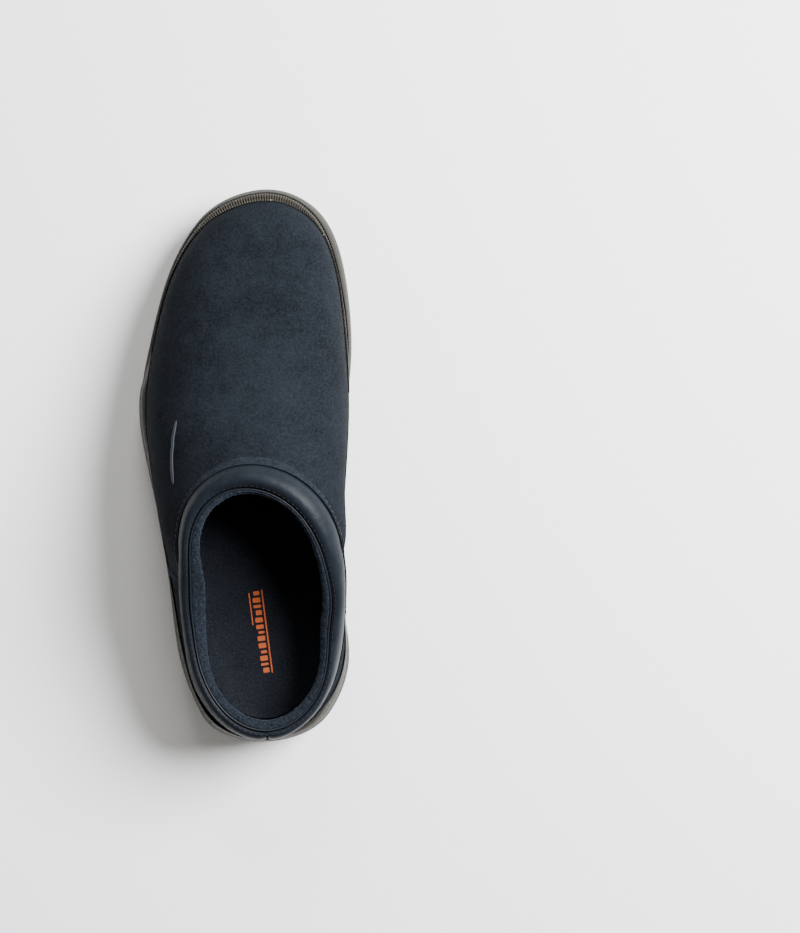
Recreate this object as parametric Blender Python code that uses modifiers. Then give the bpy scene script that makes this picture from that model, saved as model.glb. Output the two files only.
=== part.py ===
"""Slip-on mule clog, left foot: suede upper, padded collar, fleece lining, cupped sole.

Dimensions below are millimetres; the built meshes are metres.
+Y runs toward the toe, +X toward the inner side of the foot, +Z up, floor at Z = 0.
"""
import math

import bmesh
import bpy
import numpy as np

# ---------------------------------------------------------------- driving dimensions
MM = 0.001
NAME = "slip_on_clog"
SIDES = 44

# Middle of the sole plan, moved to X = 0, Y = 0 when the meshes are built
MIDDLE = (0.2, 1.45)

# Sole plan, one station per row: Y, outer-side X, inner-side X
TOE_TIP = (12.0, 147.4)
HEEL_TIP = (10.0, -144.5)
SOLE_STATIONS = [
    (141.0, -12.0, 33.0),
    (126.0, -28.5, 46.2),
    (100.0, -42.2, 53.6),
    (62.0, -52.4, 56.4),
    (25.0, -56.0, 53.0),
    (-20.0, -47.0, 50.8),
    (-65.0, -39.5, 51.0),
    (-100.0, -34.5, 55.2),
    (-125.0, -25.5, 48.0),
    (-139.0, -14.0, 34.0),
]
# How far the upper sits inside the sole edge: toe tip, inner side, heel tip, outer side
UPPER_INSET = [6.5, 6.3, 5.6, 4.4, 2.8, -1.8, -1.6, -0.6, 2.8, 4.4, 4.8,
               4.3, 4.8, 4.9, 4.2, 2.8, 2.0, 4.8, 4.0, 3.6, 4.4, 6.0]
# Collar angle (degrees from the front) that faces each station
COLLAR_ANGLE = [0, 6, 12, 19, 27, 39, 59, 89, 118, 142, 161, 180]

FOREFOOT_STACK = 24.0
HEEL_RAISE = 8.0
TOE_SPRING = 9.0
HEEL_BEVEL = 2.5
LUG_HEIGHT = 3.6
# Rise of the heel cup's rim at the back, and where it climbs the outer side of the heel
CUP_BACK, CUP_CLIMB, CLIMB_AT = 6.0, 4.0, 13.2
OUTSOLE_TOP = 8.0

# Collar outlines as radii from their middle, every 30 degrees from the toe end round by the
# inner side: suede edge, seam of leather and fleece, inner rim of the fleece
COLLAR_MIDDLE = (11.5, -70.0)
EDGE_RADII = [71.5, 62.0, 48.5, 42.5, 47.0, 60.5, 71.5, 62.5, 47.0, 42.0, 49.5, 67.5]
THROAT_RADII = [59.0, 48.0, 38.5, 36.0, 39.5, 56.0, 66.0, 54.0, 40.5, 37.0, 42.5, 58.0]
FLEECE_RADII = [54.5, 43.5, 34.5, 32.0, 35.0, 50.5, 60.0, 48.5, 35.0, 31.5, 36.0, 52.5]
TOPLINE_BACK, TOPLINE_RISE = 62.0, 28.0
SUEDE_BACK, SUEDE_RISE = 41.0, 46.0

SUEDE = 1.8
STIFFENER_AT, STIFFENER = 2.1, 0.8
LINING_AT, LINING = 3.2, 3.0
LEATHER = 1.1
BED_CLEARANCE = 1.5
# Extra room for the footbed where the heel turns to the outer side
HEEL_CORNER = 2.0
# Rows of the upper between the sole cup (0) and the collar (1)
SUEDE_STEPS = [0.0, 0.08, 0.18, 0.3, 0.43, 0.57, 0.72, 0.87, 1.0]
BED_TOP = 4.2
CLOTH = 1.1
GAP = 0.3
LINING_SEAM, SEAM_SLIT = 6.6, 0.012

# Tread rows: Y of the row, number of lugs across
LUG_ROWS = [(-122, 3), (-103, 3), (-84, 3), (-62, 2), (-38, 2), (-14, 2),
            (9, 3), (31, 3), (53, 3), (75, 3), (96, 3), (116, 2)]
LUG_HALF_LENGTH = 7.0
LUG_SKEW = 4.0
LUG_EDGE_MARGIN = 6.0
LUG_GROOVE = 4.8

PAD_CLEARANCE = 0.9
PIPING_RADIUS = 0.8
MARK_LENGTH, MARK_LINE, MARK_BLOCK = 44.0, 1.2, 5.4
MARK_BLOCKS, MARK_GROOVE = 9, 0.7
MARK_CENTRE, MARK_LEAN = (13.6, -85.5), 7.5
MARK_INK = 0.25


# ---------------------------------------------------------------- curves
def spline(values):
    """Closed cubic through equally spaced values."""
    v = np.array(values, float)
    n = len(v)
    one = np.eye(n)
    m = 4.0 * one + np.roll(one, 1, 0) + np.roll(one, -1, 0)
    d = np.linalg.solve(m, 3.0 * (np.roll(v, -1, 0) - np.roll(v, 1, 0)))

    def at(t):
        t = t % n
        i = int(math.floor(t)) % n
        s = t - math.floor(t)
        j = (i + 1) % n
        a = (1 + 2 * s) * (1 - s) ** 2 * v[i] + s * (1 - s) ** 2 * d[i]
        return a + s * s * (3 - 2 * s) * v[j] + s * s * (s - 1) * d[j]

    return at


def smooth(x):
    x = min(1.0, max(0.0, x))
    return x * x * (3 - 2 * x)


edge_radius = spline(EDGE_RADII)
throat_radius = spline(THROAT_RADII)
fleece_radius = spline(FLEECE_RADII)
INNER = [(s[2], s[0]) for s in SOLE_STATIONS]
OUTER = [(s[1], s[0]) for s in SOLE_STATIONS]
STATIONS = 2 * len(SOLE_STATIONS) + 2
HALF = STATIONS // 2
sole_plan = spline([TOE_TIP] + INNER + [HEEL_TIP] + OUTER[::-1])
upper_inset = spline(UPPER_INSET)
_turn = [a - i * 180.0 / HALF for i, a in enumerate(COLLAR_ANGLE)]
_turn = spline(_turn + [-a for a in _turn[-2:0:-1]])


def collar_angle(t):
    """Fanned over the vamp, straight across from the sole edge round the heel."""
    fanned = math.radians(_turn(t) + t * 180.0 / HALF)
    near = smooth((5.6 - abs(t % STATIONS - HALF)) / 1.8)
    if near == 0.0:
        return fanned
    f = upper_edge(t)
    facing = math.atan2(f[0] - COLLAR_MIDDLE[0], f[1] - COLLAR_MIDDLE[1]) % (2 * math.pi)
    return fanned % (2 * math.pi) * (1 - near) + facing * near


def outward(t):
    d = sole_plan(t + 0.02) - sole_plan(t - 0.02)
    d = d / np.hypot(d[0], d[1])
    return np.array([-d[1], d[0]])


def sole_edge(t, inset=0.0):
    return sole_plan(t) - outward(t) * inset


def upper_edge(t, inset=0.0):
    return sole_edge(t, upper_inset(t) + inset)


def outline(radius, angle, grow=0.0):
    """Point of a collar outline; angle runs from +Y toward +X."""
    r = radius(angle / math.radians(30.0)) + grow
    return np.array([COLLAR_MIDDLE[0] + r * math.sin(angle), COLLAR_MIDDLE[1] + r * math.cos(angle)])


# ---------------------------------------------------------------- heights
def spring(y):
    toe = TOE_SPRING * (max(0.0, y - 55.0) / 91.0) ** 2
    return toe + HEEL_BEVEL * (max(0.0, -118.0 - y) / 26.0) ** 2


def stack(y):
    toe = TOE_SPRING * (max(0.0, y - 55.0) / 91.0) ** 2
    return FOREFOOT_STACK + 0.75 * toe + HEEL_RAISE * smooth((40.0 - y) / 95.0)


def topline(t):
    return TOPLINE_BACK + TOPLINE_RISE * ((1 + math.cos(collar_angle(t))) / 2) ** 1.6


def suede_top(t):
    return SUEDE_BACK + SUEDE_RISE * ((1 + math.cos(collar_angle(t))) / 2) ** 1.5


# ---------------------------------------------------------------- upper surface
def upper(t, u):
    """Outer face of the upper: u = 0 in the sole cup, u = 1 at the collar."""
    f = upper_edge(t)
    c = outline(edge_radius, collar_angle(t))
    a = np.array([f[0], f[1], stack(f[1]) - 2.7])
    b = np.array([c[0], c[1], suede_top(t)])
    d = math.hypot(b[0] - a[0], b[1] - a[1])
    rise = b[2] - a[2]
    lean = smooth((d - 8.0) / 50.0)
    away = (f - c) * lean + outward(t) * 3.0 * (1 - lean)
    away = away / np.hypot(away[0], away[1])
    wide = smooth((d - 4.0) / 26.0)
    reach = 0.45 * d * wide + 0.8 * (1 - wide)
    lift = 30.0 * wide + 0.40 * rise * (1 - wide)
    drop = 0.42 * reach * wide + 0.34 * rise * (1 - wide)
    p1 = a + np.array([0, 0, lift])
    p1[:2] = p1[:2] + outward(t) * 0.8
    p2 = b + np.array([away[0] * reach, away[1] * reach, -drop])
    v = 1 - u
    return v ** 3 * a + 3 * v * v * u * p1 + 3 * v * u * u * p2 + u ** 3 * b


def upper_normal(t, u):
    u = min(0.995, max(0.005, u))
    along = upper(t + 0.02, u) - upper(t - 0.02, u)
    up = upper(t, u + 0.005) - upper(t, u - 0.005)
    n = np.cross(up, along)
    n = n / np.linalg.norm(n)
    if np.dot(n[:2], outward(t)) < 0 and n[2] < 0:
        n = -n
    return n


def upper_at(t, u, depth):
    return upper(t, u) - upper_normal(t, u) * depth


def height_u(t, z):
    lo, hi = 0.0, 1.0
    for _ in range(24):
        mid = 0.5 * (lo + hi)
        if upper(t, mid)[2] < z:
            lo = mid
        else:
            hi = mid
    return 0.5 * (lo + hi)


# ---------------------------------------------------------------- mesh helpers
def fresh_collection(name):
    col = bpy.data.collections.new(name)
    bpy.context.scene.collection.children.link(col)
    return col


def material(name, rgb, rough):
    m = bpy.data.materials.new(name)
    m.use_nodes = True
    p = m.node_tree.nodes["Principled BSDF"]
    p.inputs["Base Color"].default_value = (rgb[0], rgb[1], rgb[2], 1.0)
    p.inputs["Roughness"].default_value = rough
    return m


def metres(p):
    return ((p[0] - MIDDLE[0]) * MM, (p[1] - MIDDLE[1]) * MM, p[2] * MM)


def solid(name, verts, faces, look, col):
    me = bpy.data.meshes.new(name)
    me.from_pydata([metres(v) for v in verts], [], faces)
    bm = bmesh.new()
    bm.from_mesh(me)
    bmesh.ops.remove_doubles(bm, verts=bm.verts, dist=1e-6)
    bmesh.ops.recalc_face_normals(bm, faces=bm.faces)
    bm.to_mesh(me)
    bm.free()
    me.shade_smooth()
    me.set_sharp_from_angle(angle=math.radians(40.0))
    me.materials.append(look)
    ob = bpy.data.objects.new(name, me)
    col.objects.link(ob)
    return ob


def sheet(name, grid, closed, thickness, look, col):
    """Open surface given its thickness by Solidify; rows run round the shoe."""
    m = len(grid[0])
    faces = []
    for i in range(len(grid) if closed else len(grid) - 1):
        a, b = i * m, ((i + 1) % len(grid)) * m
        for j in range(m - 1):
            faces.append((a + j, a + j + 1, b + j + 1, b + j))
    me = bpy.data.meshes.new(name)
    me.from_pydata([metres(p) for row in grid for p in row], [], faces)
    me.shade_smooth()
    me.materials.append(look)
    ob = bpy.data.objects.new(name, me)
    col.objects.link(ob)
    solidify = ob.modifiers.new("thickness", "SOLIDIFY")
    solidify.thickness = thickness * MM
    solidify.offset = -1.0
    solidify.use_even_offset = True
    return ob


def curve_object(name, points, look, col, flat=False):
    """Closed curve of straight runs, in its own object."""
    cu = bpy.data.curves.new(name, "CURVE")
    cu.dimensions = "2D" if flat else "3D"
    line = cu.splines.new("POLY")
    line.points.add(len(points) - 1)
    for point, p in zip(line.points, points):
        point.co = (p[0], p[1], p[2], 1.0)
    line.use_cyclic_u = True
    cu.materials.append(look)
    ob = bpy.data.objects.new(name, cu)
    col.objects.link(ob)
    return ob


def shell(name, outer, inner, closed, look, col):
    """Solid between two matching grids; rows run round the shoe."""
    n, m = len(outer), len(outer[0])
    verts = [p for row in outer for p in row] + [p for row in inner for p in row]
    off = n * m
    faces = []
    last = n if closed else n - 1
    for i in range(last):
        a, b = i * m, ((i + 1) % n) * m
        for j in range(m - 1):
            faces.append((a + j, b + j, b + j + 1, a + j + 1))
            faces.append((off + a + j + 1, off + b + j + 1, off + b + j, off + a + j))
        faces.append((a, off + a, off + b, b))
        faces.append((a + m - 1, b + m - 1, off + b + m - 1, off + a + m - 1))
    if not closed:
        for a in (0, (n - 1) * m):
            for j in range(m - 1):
                faces.append((a + j, a + j + 1, off + a + j + 1, off + a + j))
    return solid(name, verts, faces, look, col)


def plate(name, rings, look, col):
    """Stack of rings, each end closed straight across the shoe."""
    n = len(rings[0])
    verts = [p for ring in rings for p in ring]
    faces = []
    for k in range(len(rings) - 1):
        for i in range(n):
            j = (i + 1) % n
            faces.append((k * n + i, k * n + j, (k + 1) * n + j, (k + 1) * n + i))
    for base in (0, (len(rings) - 1) * n):
        for i in range(n // 2):
            loop = [i, i + 1, n - i - 1, (n - i) % n]
            loop = [base + q for q in dict.fromkeys(loop)]
            faces.append(tuple(loop))
    return solid(name, verts, faces, look, col)


def stations(lo=0.0, hi=None, step=STATIONS / SIDES):
    if hi is None:
        return [i * step for i in range(SIDES)]
    first = math.floor(lo / step + 1e-6) + 1
    out = [lo]
    while first * step < hi - 1e-6:
        out.append(first * step)
        first += 1
    return out + [hi]


def ring(edge, inset, height):
    """Level ring; height is a function of Y, inset a number or function of the station."""
    out = []
    for t in stations():
        p = edge(t, inset(t) if callable(inset) else inset)
        out.append((p[0], p[1], height(p[1], t)))
    return out


def core(edge, inset, pull=0.2):
    """Edge curve drawn in toward the line halfway between the shoe's two sides."""
    def at(t, _):
        p = edge(t, inset)
        mid = 0.5 * (p + edge(-t, inset))
        return p + (mid - p) * pull
    return at


def steps(a, b, n):
    return [a + (b - a) * i / (n - 1) for i in range(n)]


# ---------------------------------------------------------------- sole
def toe_wrap(t):
    """1 at the toe tip, 0 from the ball back."""
    away = min(t % STATIONS, STATIONS - t % STATIONS)
    return smooth((4.6 - away) / 3.4)


def outsole_rim(y, t):
    return spring(y) + OUTSOLE_TOP + 1.5 + 8.5 * toe_wrap(t)


def outsole(col, look, cutters):
    base = plate("outsole", [
        ring(core(sole_edge, 4.0), 0.0, lambda y, t: spring(y) + LUG_HEIGHT),
        ring(sole_edge, 4.0, lambda y, t: spring(y) + LUG_HEIGHT),
        ring(sole_edge, 1.0, lambda y, t: spring(y) + LUG_HEIGHT + 1.6),
        ring(sole_edge, 0.0, lambda y, t: spring(y) + LUG_HEIGHT + 4.0),
        ring(sole_edge, 0.2, lambda y, t: outsole_rim(y, t) - 0.8),
        ring(sole_edge, 0.8, lambda y, t: outsole_rim(y, t)),
        ring(sole_edge, 1.8, lambda y, t: outsole_rim(y, t)),
        ring(sole_edge, 2.0, lambda y, t: spring(y) + OUTSOLE_TOP),
        ring(core(sole_edge, 4.0), 0.0, lambda y, t: spring(y) + OUTSOLE_TOP),
    ], look, col)
    lugs = lug_blocks(look, cutters)
    weld = base.modifiers.new("lugs", "BOOLEAN")
    weld.operation = "UNION"
    weld.solver = "EXACT"
    weld.object = lugs
    return base


def lug_blocks(look, cutters):
    """Skewed, tapered tread blocks in rows across the sole, narrow face on the ground."""
    bm = bmesh.new()
    for y, count in LUG_ROWS:
        outer, inner = plan_span(y)
        outer, inner = outer + LUG_EDGE_MARGIN, inner - LUG_EDGE_MARGIN
        pitch = (inner - outer) / count
        for k in range(count):
            half_width = 0.5 * (pitch - LUG_GROOVE)
            add_lug(bm, outer + pitch * (k + 0.5), y, half_width, math.copysign(LUG_SKEW, y))
    me = bpy.data.meshes.new("lug_block")
    bm.to_mesh(me)
    bm.free()
    me.materials.append(look)
    lugs = bpy.data.objects.new("lug_block", me)
    cutters.objects.link(lugs)
    lugs.hide_render = True
    lugs.display_type = "WIRE"
    return lugs


def plan_span(y):
    ts = [i * 0.05 for i in range(int(STATIONS / 0.05))]
    pts = [sole_edge(t) for t in ts]
    near = [p[0] for p in pts if abs(p[1] - y) < 3.0]
    return min(near), max(near)


def add_lug(bm, x, y, half_width, skew):
    """One block: a unit cube widened toward its root and leaned along the shoe."""
    cube = bmesh.ops.create_cube(bm, size=2.0)
    for v in cube["verts"]:
        sx, sy, sz = v.co
        grow = 1.0 if sz > 0 else 0.0
        foot = LUG_HEIGHT + 1.2 if sz > 0 else 0.0
        px = x + sx * (half_width + grow) + sy * skew * 0.5
        py = y + sy * (LUG_HALF_LENGTH + grow)
        v.co = metres((px, py, spring(y + sy * LUG_HALF_LENGTH) + foot))


def side_foot(y):
    """Height where the foxing and heel cup start above the midsole flank."""
    return spring(y) + OUTSOLE_TOP + 3.2 + 0.22 * (stack(y) - FOREFOOT_STACK)


def midsole(col, look):
    low = OUTSOLE_TOP + GAP

    def under_upper(t):
        return max(upper_inset(t) + 0.9, 3.0)

    return plate("midsole", [
        ring(core(sole_edge, 4.0), 0.0, lambda y, t: spring(y) + low),
        ring(sole_edge, 2.4, lambda y, t: spring(y) + low),
        ring(sole_edge, 2.4, lambda y, t: side_foot(y) - GAP),
        ring(sole_edge, under_upper, lambda y, t: side_foot(y) - GAP),
        ring(sole_edge, under_upper, lambda y, t: stack(y) - 5.3),
        ring(core(upper_edge, 3.0), 0.0, lambda y, t: stack(y) - 5.3),
    ], look, col)


def wrap_grid(t, inset, foot, top, u_top):
    """Matching inner and outer columns of a rubber wrap at one station."""
    f = upper_edge(t, -0.35)
    inner = [np.array([f[0], f[1], foot])]
    for u in steps(0.0, u_top, 5):
        inner.append(upper_at(t, u, -0.35))
    outer = []
    for k, p in enumerate(inner):
        e = sole_edge(t, inset[k])
        if np.dot(e - p[:2], outward(t)) < 0.5:
            e = p[:2] + outward(t) * 0.5
        outer.append(np.array([e[0], e[1], p[2]]))
    outer[-1][2] = top - 0.5
    return outer, inner


def toe_foxing(col, look):
    outer, inner = [], []
    for t in stations(-4.0, 4.6):
        y = sole_edge(t)[1]
        top = stack(y) + 1.6
        o, i = wrap_grid(t, [2.4, 2.4, 2.35, 2.5, 2.9, 3.5], side_foot(y), top, height_u(t, top))
        outer.append(o)
        inner.append(i)
    return shell("toe_foxing", outer, inner, False, look, col)


def heel_cup(col, look):
    outer, inner = [], []
    for t in stations(7.3, STATIONS - 4.01):
        y = sole_edge(t)[1]
        back = smooth(1 - abs(t - HALF) / 3.6)
        climb = smooth(1 - abs(t - CLIMB_AT) / 2.2)
        top = stack(y) + 1.6 + CUP_BACK * back + CUP_CLIMB * climb
        inset = [0.6, 0.2, 0.0, 1.0 + climb, 1.2 + 2.2 * climb, 2.4 + 3.0 * climb]
        o, i = wrap_grid(t, inset, side_foot(y), top, height_u(t, top))
        outer.append(o)
        inner.append(i)
    return shell("heel_cup", outer, inner, False, look, col)


def strobel_board(col, look):
    return plate("strobel_board", [
        ring(core(upper_edge, 3.0), 0.0, lambda y, t: stack(y) - 5.0),
        ring(upper_edge, 1.0, lambda y, t: stack(y) - 5.0),
        ring(upper_edge, 1.0, lambda y, t: stack(y) - 3.0),
        ring(core(upper_edge, 3.0), 0.0, lambda y, t: stack(y) - 3.0),
    ], look, col)


# ---------------------------------------------------------------- footbed
def inside(rise):
    """Line running round the lining's inner face at a height above the board."""
    def at(t, inset):
        y = upper_edge(t)[1]
        z = stack(y) + (rise(y) if callable(rise) else rise)
        corner = HEEL_CORNER * smooth((2.4 - abs(t % STATIONS - HALF - 1.0)) / 1.6)
        depth = LINING_AT + LINING + BED_CLEARANCE + corner + inset
        return upper_at(t, height_u(t, z), depth)[:2]
    return at


def footbed(col, look_foam, look_cloth):
    foam = plate("footbed_foam", [
        ring(core(inside(-2.6), 1.6), 0.0, lambda y, t: stack(y) - 2.6),
        ring(inside(-2.6), 1.6, lambda y, t: stack(y) - 2.6),
        ring(inside(-0.4), 0.4, lambda y, t: stack(y) - 0.4),
        ring(inside(BED_TOP), 0.2, lambda y, t: stack(y) + BED_TOP - 0.5),
        ring(inside(BED_TOP), 1.0, lambda y, t: stack(y) + BED_TOP),
        ring(core(inside(BED_TOP), 1.0), 0.0, lambda y, t: stack(y) + BED_TOP),
    ], look_foam, col)
    low = BED_TOP + GAP + 0.1
    high = low + CLOTH
    cloth = plate("footbed_topcloth", [
        ring(core(inside(high), 0.9), 0.0, lambda y, t: stack(y) + low),
        ring(inside(high), 0.9, lambda y, t: stack(y) + low),
        ring(inside(high), 0.9, lambda y, t: stack(y) + high),
        ring(core(inside(high), 0.9), 0.0, lambda y, t: stack(y) + high),
    ], look_cloth, col)
    return foam, cloth


def footbed_mark(col, look):
    """Plain printed device: one line with a row of square blocks standing on it."""
    half = MARK_LENGTH / 2
    pitch = MARK_LENGTH / MARK_BLOCKS
    points = [(half, 0.0), (-half, 0.0), (-half, MARK_LINE)]
    for k in range(MARK_BLOCKS):
        a = -half + pitch * k + MARK_GROOVE
        b = -half + pitch * (k + 1) - MARK_GROOVE
        points.extend([(a, MARK_LINE), (a, MARK_BLOCK), (b, MARK_BLOCK), (b, MARK_LINE)])
    points.append((half, MARK_LINE))
    ob = curve_object("footbed_mark", [(x * MM, y * MM, 0.0) for x, y in points], look, col, True)
    ob.data.fill_mode = "BOTH"
    ob.data.extrude = 0.5 * MARK_INK * MM
    cloth_top = stack(MARK_CENTRE[1]) + BED_TOP + GAP + 0.1 + CLOTH
    ob.location = metres((*MARK_CENTRE, cloth_top + GAP))
    ob.rotation_euler = (0.0, 0.0, math.radians(90.0 + MARK_LEAN))
    return ob


# ---------------------------------------------------------------- upper parts
def upper_sheet(name, ts, us, depth, thickness, closed, look, col):
    grid = [[upper_at(t, u, depth) for u in us] for t in ts]
    return sheet(name, grid, closed, thickness, look, col)


def suede_upper(col, look):
    return upper_sheet("suede_upper", stations(), SUEDE_STEPS, 0.0, SUEDE, True, look, col)


def toe_puff(col, look):
    return upper_sheet("toe_puff", stations(-3.5, 3.5), SUEDE_STEPS[:4],
                       STIFFENER_AT, STIFFENER, False, look, col)


def heel_counter(col, look):
    return upper_sheet("heel_counter", stations(HALF - 3.5, HALF + 3.5), SUEDE_STEPS[:8],
                       STIFFENER_AT, STIFFENER, False, look, col)


def lining_column(t):
    outer = [upper_at(t, u, LINING_AT) for u in SUEDE_STEPS]
    inner = [upper_at(t, u, LINING_AT + LINING) for u in SUEDE_STEPS]
    angle = collar_angle(t)
    rim = outline(throat_radius, angle, -0.5)
    lip = outline(fleece_radius, angle)
    z = topline(t) - 1.7
    mid = 0.5 * (outer[-1] + np.array([rim[0], rim[1], z]))
    mid[2] = mid[2] + 0.1 * (z - outer[-1][2])
    outer.extend([mid, np.array([rim[0], rim[1], z])])
    mid = 0.5 * (inner[-1] + np.array([lip[0], lip[1], z]))
    mid[2] = mid[2] - 0.5
    inner.extend([mid, np.array([lip[0], lip[1], z - 0.2])])
    return outer, inner


def linings(col, look):
    front, back = LINING_SEAM - SEAM_SLIT, LINING_SEAM + SEAM_SLIT
    for name, lo, hi in (("vamp_lining", -front, front), ("quarter_lining", back, STATIONS - back)):
        cols = [lining_column(t) for t in stations(lo, hi)]
        shell(name, [c[0] for c in cols], [c[1] for c in cols], False, look, col)


def leather_column(t):
    """Rolled leather: from the suede edge over the pad to the throat."""
    edge = upper(t, 1.0)
    tangent = edge - upper(t, 0.98)
    tangent = tangent / np.linalg.norm(tangent)
    normal = upper_normal(t, 1.0)
    throat = outline(throat_radius, collar_angle(t), 0.5)
    p0 = edge + tangent * 0.4
    p3 = np.array([throat[0], throat[1], topline(t)])
    chord = np.linalg.norm(p3 - p0)
    plump = 2.2 + 1.4 * smooth((edge[1] + 60.0) / 50.0)
    p1 = p0 + normal * plump + tangent * 0.40 * chord
    full = outline(throat_radius, collar_angle(t), 3.4) - throat
    p2 = p3 + np.array([full[0], full[1], 5.6])
    out = []
    for u in steps(0.0, 1.0, 8):
        v = 1 - u
        out.append(v ** 3 * p0 + 3 * v * v * u * p1 + 3 * v * u * u * p2 + u ** 3 * p3)
    return out


def grid_inset(grid, depth):
    """Closed-round grid moved toward its inner side by its own normals."""
    n, m = len(grid), len(grid[0])
    out = []
    for i in range(n):
        row = []
        for j in range(m):
            along = grid[(i + 1) % n][j] - grid[(i - 1) % n][j]
            up = grid[i][min(j + 1, m - 1)] - grid[i][max(j - 1, 0)]
            nrm = np.cross(up, along)
            row.append(grid[i][j] - nrm / np.linalg.norm(nrm) * depth)
        out.append(row)
    return out


def collar(col, look_leather, look_foam):
    ts = stations()
    grid = [leather_column(t) for t in ts]
    under = grid_inset(grid, LEATHER)
    shell("collar_leather", grid, under, True, look_leather, col)
    deep = grid_inset(grid, LEATHER + GAP + 0.2)
    outer, inner = [], []
    for i, t in enumerate(ts):
        foot, mid, _ = lining_column(t)[0][-3:]
        lip = deep[i][7] - np.array([0, 0, 1.0])
        wall = [foot, 0.5 * (foot + mid), mid, 0.5 * (mid + lip)]
        a, b = [], []
        for k in range(4):
            p = deep[i][k + 1]
            q = wall[k]
            gap = np.linalg.norm(q - p)
            a.append(p)
            b.append(q + (p - q) * min(PAD_CLEARANCE / max(gap, 1e-6), 0.5))
        outer.append(a)
        inner.append(b)
    shell("collar_foam", outer, inner, True, look_foam, col)


def collar_piping(col, look):
    """Thin cord in the seam between leather and fleece."""
    points = []
    for t in stations():
        c = outline(throat_radius, collar_angle(t), -0.75)
        points.append(metres((c[0], c[1], topline(t) - 0.3)))
    ob = curve_object("collar_piping", points, look, col)
    ob.data.bevel_depth = PIPING_RADIUS * MM
    ob.data.bevel_resolution = 1
    return ob


# ---------------------------------------------------------------- build
def main():
    for ob in list(bpy.data.objects):
        bpy.data.objects.remove(ob, do_unlink=True)
    col = fresh_collection(NAME)
    cutters = fresh_collection("cutters")
    outsole(col, material("outsole_rubber", (0.105, 0.104, 0.098), 0.62), cutters)
    midsole(col, material("midsole_foam", (0.045, 0.043, 0.038), 0.8))
    toe_foxing(col, material("foxing_rubber", (0.040, 0.036, 0.028), 0.75))
    heel_cup(col, material("cup_rubber", (0.085, 0.085, 0.080), 0.6))
    strobel_board(col, material("lasting_board", (0.30, 0.27, 0.20), 0.9))
    footbed(col, material("bed_foam", (0.055, 0.043, 0.022), 0.9),
            material("bed_cloth", (0.012, 0.016, 0.026), 0.95))
    footbed_mark(col, material("bed_ink", (0.50, 0.10, 0.03), 0.7))
    suede_upper(col, material("suede", (0.024, 0.034, 0.052), 0.95))
    toe_puff(col, material("puff_sheet", (0.5, 0.5, 0.46), 0.8))
    heel_counter(col, material("counter_sheet", (0.42, 0.42, 0.40), 0.6))
    linings(col, material("fleece", (0.016, 0.021, 0.032), 1.0))
    collar(col, material("collar_skin", (0.020, 0.028, 0.043), 0.42),
           material("collar_pad", (0.24, 0.24, 0.22), 0.9))
    collar_piping(col, material("piping", (0.010, 0.013, 0.020), 0.35))


main()
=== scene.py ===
"""Looks of the left slip-on mule clog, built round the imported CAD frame.

Lengths are millimetres in the shape functions and metres in the meshes. A station runs round the
shoe from the toe tip (0) by the inner side to the heel tip (11) and back by the outer side.
"""
import math

import bpy
import numpy as np
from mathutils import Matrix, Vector, noise


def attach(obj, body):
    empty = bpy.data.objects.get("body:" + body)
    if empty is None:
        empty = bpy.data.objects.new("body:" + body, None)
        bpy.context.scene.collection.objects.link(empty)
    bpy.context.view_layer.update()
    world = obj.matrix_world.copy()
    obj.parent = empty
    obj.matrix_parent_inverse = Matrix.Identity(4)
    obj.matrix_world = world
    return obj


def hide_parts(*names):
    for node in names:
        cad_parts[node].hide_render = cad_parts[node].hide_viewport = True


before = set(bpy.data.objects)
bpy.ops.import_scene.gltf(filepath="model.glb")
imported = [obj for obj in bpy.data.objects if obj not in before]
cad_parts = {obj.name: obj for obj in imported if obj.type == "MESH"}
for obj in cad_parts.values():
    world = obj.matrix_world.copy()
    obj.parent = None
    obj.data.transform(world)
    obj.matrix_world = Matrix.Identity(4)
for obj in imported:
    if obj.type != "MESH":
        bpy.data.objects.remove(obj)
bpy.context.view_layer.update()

# ---------------------------------------------------------------- driving dimensions
MM = 0.001
MIDDLE = np.array([0.2, 1.45, 0.0])
TOE_TIP, HEEL_TIP = (12.0, 147.4), (10.0, -144.5)
SOLE_STATIONS = [
    (141.0, -12.0, 33.0), (126.0, -28.5, 46.2), (100.0, -42.2, 53.6), (62.0, -52.4, 56.4),
    (25.0, -56.0, 53.0), (-20.0, -47.0, 50.8), (-65.0, -39.5, 51.0), (-100.0, -34.5, 55.2),
    (-125.0, -25.5, 48.0), (-139.0, -14.0, 34.0)]
UPPER_INSET = [6.5, 6.3, 5.6, 4.4, 2.8, -1.8, -1.6, -0.6, 2.8, 4.4, 4.8,
               4.3, 4.8, 4.9, 4.2, 2.8, 2.0, 4.8, 4.0, 3.6, 4.4, 6.0]
COLLAR_ANGLE = [0, 6, 12, 19, 27, 39, 59, 89, 118, 142, 161, 180]
FOREFOOT_STACK, HEEL_RAISE, TOE_SPRING, HEEL_BEVEL = 24.0, 8.0, 9.0, 2.5
LUG_HEIGHT, OUTSOLE_TOP = 3.6, 8.0
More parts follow.
